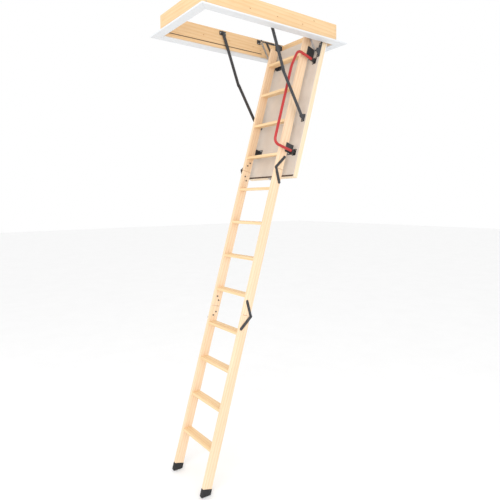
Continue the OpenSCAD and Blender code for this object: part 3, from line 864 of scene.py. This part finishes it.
@dataclass
class Feet:
    """The moulded feet: rounded caps with shallow ribs and a level sole."""

    corner_mm: float = 4.0
    rib_mm: float = 0.9

    def build(self) -> None:
        """Makes both caps as one piece."""
        fit_to_body(joined("foot_caps", [self.cap(side) for side in (1, -1)]), "feet")

    def cap(self, side: int) -> bpy.types.Object:
        """A round-cornered section carried down the slope and cut level at the floor.

        Ribs are half waves that push the section outwards.  The last rows end where the
        slope distance of the level floor lies at each point's depth.

        Args:
            side: 1 for the left foot, -1 for the right.

        Returns:
            The cap.
        """
        (s0, _), (n0, n1), (y0, y1) = SLOPE.measure("feet", side)
        floor = node_points("feet")[:, 2].min()
        t = np.linspace(0, 1, 46)
        rings = []
        for u in t:
            rib = self.rib_mm * MM * max(0.0, math.sin(u * 5 * 2 * math.pi)) * (0.1 < u < 0.7)
            ease = 0.0022 * (max(0.0, 0.05 - u) / 0.05) ** 0.5 + 0.004 * max(0.0, u - 0.93) / 0.07
            inset = self.rib_mm * MM + ease - rib
            outline = rounded_outline((n1 - n0) / 2 - inset, (y1 - y0) / 2 - inset, self.corner_mm * MM)
            n = (n0 + n1) / 2 + outline[:, 0]
            # where this depth meets the floor, and the slant of the toe in front
            s_floor = (SLOPE.hinge_z - floor - n * SLOPE.up_x) / SLOPE.up_z
            toe = np.clip((n0 + 0.013 - n) / 0.013, 0, 1) * 0.010
            rings.append(SLOPE.place(s0 + (s_floor - toe - s0) * u, n, (y0 + y1) / 2 + outline[:, 1]))
        return lofted(f"foot_{side}", np.array(rings), 40)


@dataclass
class Joints:
    """The strap hinges with their bolts, the side arms and the latch."""

    straps: tuple = ("straps_top", "straps_mid_upper", "straps_mid_lower", "straps_low")
    bolts: tuple = ("bolts_top", "bolts_mid", "bolts_low")
    arms: tuple = tuple(f"arm_{part}_{side}" for part in ("upper", "lower") for side in ("left", "right"))

    def build(self) -> None:
        """Softens every steel piece of the moving joints."""
        for node in self.straps + self.arms + ("latch_bolt",):
            softened(node, 0.6)
        for node in self.bolts:
            softened(node, 0.9, 3)


# ----------------------------------------------------------------------------- studio


@dataclass(frozen=True)
class Studio:
    """Floor, lights and camera.

    Args:
        place: camera location in metres.
        yaw: heading from +X towards +Y, in radians.
        pitch: tilt above the horizon, in radians.
        roll: turn about the line of sight, in radians.
        lens: focal length for a sensor of 36 mm.
        shift: shift of the view, in sensor widths.
    """

    place: tuple = (-2.13365, -2.63405, -1.18993)
    yaw: float = 0.9683
    pitch: float = -0.0406
    roll: float = -0.0083
    lens: float = 32.52
    shift: tuple = (0.067, -0.0601)

    def camera(self) -> None:
        """Sets the camera by heading, tilt and roll."""
        forward = np.array([math.cos(self.yaw) * math.cos(self.pitch),
                            math.sin(self.yaw) * math.cos(self.pitch), math.sin(self.pitch)])
        right = np.array([math.sin(self.yaw), -math.cos(self.yaw), 0.0])
        up = np.cross(right, forward)
        c, s = math.cos(self.roll), math.sin(self.roll)
        across, above = c * right + s * up, c * up - s * right
        data = bpy.data.cameras.new("view")
        data.lens = self.lens
        data.sensor_width = 36
        data.shift_x, data.shift_y = self.shift
        data.clip_start, data.clip_end = 0.05, 100
        made = bpy.data.objects.new("view", data)
        bpy.context.scene.collection.objects.link(made)
        turn = Matrix(np.column_stack([across, above, -forward]).tolist()).to_4x4()
        made.matrix_world = Matrix.Translation(self.place) @ turn
        bpy.context.scene.camera = made

    def lamp(self, name: str, place: tuple, target: tuple, size: float, power: float) -> None:
        """A square soft lamp aimed at a point."""
        data = bpy.data.lights.new(name, "AREA")
        data.size, data.energy = size, power
        made = bpy.data.objects.new(name, data)
        bpy.context.scene.collection.objects.link(made)
        made.location = place
        made.rotation_euler = (Vector(target) - Vector(place)).to_track_quat("-Z", "Y").to_euler()

    def surroundings(self) -> None:
        """Soft, even white all round."""
        world = bpy.data.worlds.new("studio")
        world.use_nodes = True
        back = world.node_tree.nodes["Background"]
        back.inputs["Color"].default_value = (1, 1, 1, 1)
        back.inputs["Strength"].default_value = 1.0
        bpy.context.scene.world = world

    def build(self) -> None:
        """Lays the floor and hangs the lamps."""
        floor_z = CAD_BOX[0].z
        p = Pattern("pale_floor")
        tone = p.noise(p.mapped((3, 3, 3)), 1.0, 4, 0.6)
        p.join(p.ramp(tone, [(0.3, (0.93, 0.93, 0.93)), (0.7, (0.95, 0.95, 0.95))]),
               p.shader.inputs["Base Color"])
        p.shader.inputs["Roughness"].default_value = 0.9
        reach = 30.0
        corners = np.array([[-reach, -reach, 0], [reach, -reach, 0], [reach, reach, 0], [-reach, reach, 0]])
        floor = mesh_object("floor", corners + (0, 0, floor_z - 0.0005), [(0, 1, 2, 3)])
        floor.data.materials.append(p.material)
        middle = (0.0, 0.0, floor_z / 2)
        self.lamp("key", (-3.9, -2.2, -0.4), middle, 2.6, 70)
        self.lamp("fill", (-1.0, -4.6, -0.8), middle, 3.0, 34)
        self.surroundings()
        bpy.context.scene.view_settings.view_transform = "Standard"
        self.camera()


def dress_kept_nodes() -> None:
    """Gives every CAD node that still shows its finish."""
    for node, piece in frame["nodes"].items():
        if piece.hide_render:
            continue
        piece.data.materials.clear()
        piece.data.materials.append(finish_for(node))
        LOG.info("dressed %s", node)


def main() -> None:
    """Builds the studio and the ladder, one sub-assembly after another."""
    logging.basicConfig(level=logging.INFO, format="%(name)s: %(message)s")
    Studio().build()
    for part in (Casing(), Hatch(), Bars(), Treads(), Handrail(), Springs(), Feet(), Joints()):
        LOG.info("building %s", type(part).__name__)
        part.build()
    dress_kept_nodes()


if __name__ == "__main__":
    main()
